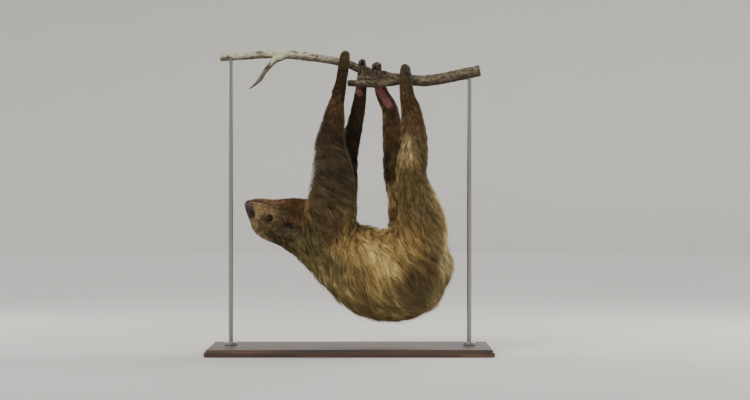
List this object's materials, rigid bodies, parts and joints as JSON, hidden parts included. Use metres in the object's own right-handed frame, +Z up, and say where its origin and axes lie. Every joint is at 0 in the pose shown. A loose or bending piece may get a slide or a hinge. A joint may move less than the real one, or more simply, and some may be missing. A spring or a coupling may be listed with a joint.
{
  "type": "two-toed sloth",
  "caption": "Life-size two-toed sloth hanging belly up by hooked claws from a cut branch, held over a flat base by upright rods.",
  "frame": {"origin": "middle of the stand base's underside, on the floor", "axes": "+X along the branch from the head end to the rump end, +Y towards the animal's left side, +Z up"},
  "size_m": [0.68, 0.3, 0.729],
  "materials": {
    "coat": "long coarse tan-brown hair",
    "coat_dark": "shorter dark brown hair",
    "bare_skin": "bare purplish-brown skin, slightly moist",
    "claw": "horn, brown-grey, semi-gloss",
    "eye": "wet dark brown",
    "bark": "dry pale grey-brown bark with lichen",
    "stand_wood": "dark stained wood, satin",
    "stand_steel": "brushed steel"
  },
  "bodies": {
    "root": {"branch": "bark", "ear_left": "coat", "ear_right": "coat", "eye_left": "eye", "eye_right": "eye", "foot_left": "coat_dark", "foot_left_claw_1": "claw", "foot_left_claw_2": "claw", "foot_left_claw_3": "claw", "foot_right": "coat_dark", "foot_right_claw_1": "claw", "foot_right_claw_2": "claw", "foot_right_claw_3": "claw", "forearm_left": "coat_dark", "forearm_right": "coat_dark", "hand_left": "coat_dark", "hand_left_claw_1": "claw", "hand_left_claw_2": "claw", "hand_right": "coat_dark", "hand_right_claw_1": "claw", "hand_right_claw_2": "claw", "head": "coat", "neck": "coat", "nose": "bare_skin", "shank_left": "coat_dark", "shank_right": "coat_dark", "stand_base": "stand_wood", "stand_collar_front": "stand_steel", "stand_collar_rear": "stand_steel", "stand_rod_front": "stand_steel", "stand_rod_rear": "stand_steel", "thigh_left": "coat", "thigh_right": "coat", "trunk": "coat", "upper_arm_left": "coat", "upper_arm_right": "coat"}
  },
  "joints": []
}
